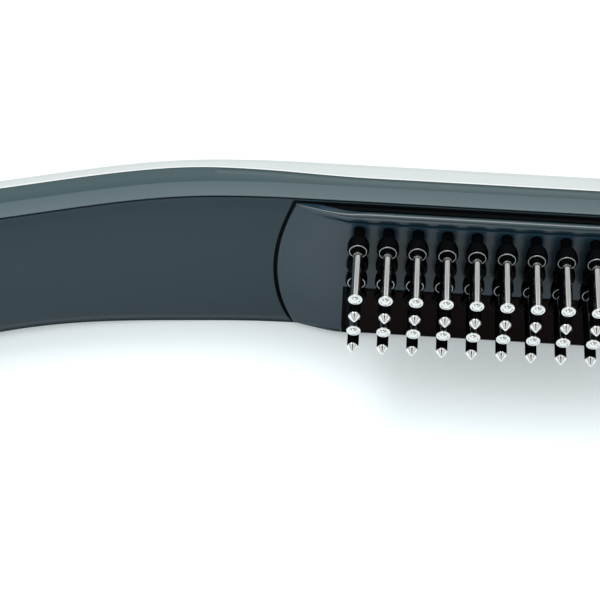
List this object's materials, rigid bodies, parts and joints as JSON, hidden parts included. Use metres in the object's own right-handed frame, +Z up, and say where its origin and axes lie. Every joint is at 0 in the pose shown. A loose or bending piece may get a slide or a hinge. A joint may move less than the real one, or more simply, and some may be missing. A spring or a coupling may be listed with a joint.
{
  "type": "laser hair comb",
  "caption": "Arched hand-held laser hair comb: lift-off head with rod and pin teeth beside a dark laser window, battery handle, press buttons.",
  "frame": {"origin": "on the surface it lies on, under the middle of the bounding box", "axes": "+X along the straight head towards its tip, +Y towards the pale back cover, +Z up from the side it lies on; the teeth point along -Y"},
  "size_m": [0.2066, 0.0478, 0.036],
  "materials": {
    "pearl_plastic": "pearl silver, satin",
    "trim_metal": "bright",
    "grey_plastic": "dark blue-grey, satin",
    "black_plastic": "black",
    "steel": "plain",
    "bright_metal": "polished",
    "bright_plastic": "silver",
    "cell_metal": "wrapped cell",
    "brass_metal": "plain",
    "board": "circuit board",
    "foam": "foam",
    "wire": "insulated lead",
    "clear_plastic": "clear",
    "led_white": "moulded",
    "dark_glass": "smoked, polished",
    "red_glass": "red"
  },
  "bodies": {
    "body": {"back_cover": "pearl_plastic", "trim_band": "trim_metal", "middle_frame": "grey_plastic", "front_shell": "grey_plastic", "head_tray": "black_plastic", "case_screws": "steel", "battery_tray": "black_plastic", "battery_cells": "cell_metal", "battery_springs": "steel", "battery_plates": "steel", "main_board": "board", "board_screws": "steel", "board_chips": "black_plastic", "switch_housings": "black_plastic", "status_light_pipe": "clear_plastic", "status_led": "led_white", "motor_can": "steel", "motor_cradle": "black_plastic", "contact_pins": "brass_metal", "contact_block": "black_plastic", "body_magnets": "steel", "lead_wires": "wire"},
    "comb_head": {"head_cover": "grey_plastic", "laser_window": "dark_glass", "tooth_block": "black_plastic", "head_board": "board", "laser_diodes": "brass_metal", "laser_lenses": "red_glass", "head_magnets": "steel", "collars_row_1": "black_plastic", "collars_row_3": "black_plastic", "collar_rings_row_1": "bright_metal", "collar_rings_row_3": "bright_metal", "rods_row_1": "bright_metal", "rods_row_3": "bright_metal", "pins_row_2": "black_plastic", "pins_row_4": "black_plastic", "tips_row_2": "bright_metal", "tips_row_4": "bright_metal"},
    "power_key": {"power_button": "bright_plastic", "power_plunger": "black_plastic"},
    "mode_key": {"mode_button": "bright_plastic", "mode_plunger": "black_plastic"},
    "battery_lid": {"battery_cover": "pearl_plastic", "cell_pad": "foam"},
    "motor_rotor": {"motor_shaft": "steel", "eccentric_weight": "brass_metal"}
  },
  "joints": [
    {"name": "power_press", "type": "slide", "parent": "body", "child": "power_key", "axis": [0.1527, -0.9883, 0], "range_m": [0, 0.0006], "stiffness_N_per_m": 1500, "springref_m": -0.0003},
    {"name": "mode_press", "type": "slide", "parent": "body", "child": "mode_key", "axis": [0.0678, -0.9977, 0], "range_m": [0, 0.0006], "stiffness_N_per_m": 1500, "springref_m": -0.0003},
    {"name": "battery_cover_lift", "type": "slide", "parent": "body", "child": "battery_lid", "axis": [-0.3493, 0.937, 0], "range_m": [0, 0.02]},
    {"name": "comb_head_pull", "type": "slide", "parent": "body", "child": "comb_head", "axis": [0, -1, 0], "range_m": [0, 0.03]},
    {"name": "motor_spin", "type": "hinge", "parent": "body", "child": "motor_rotor", "pos_m": [0.0373, 0.0139, 0.018], "axis": [1, 0, 0], "continuous": true}
  ]
}
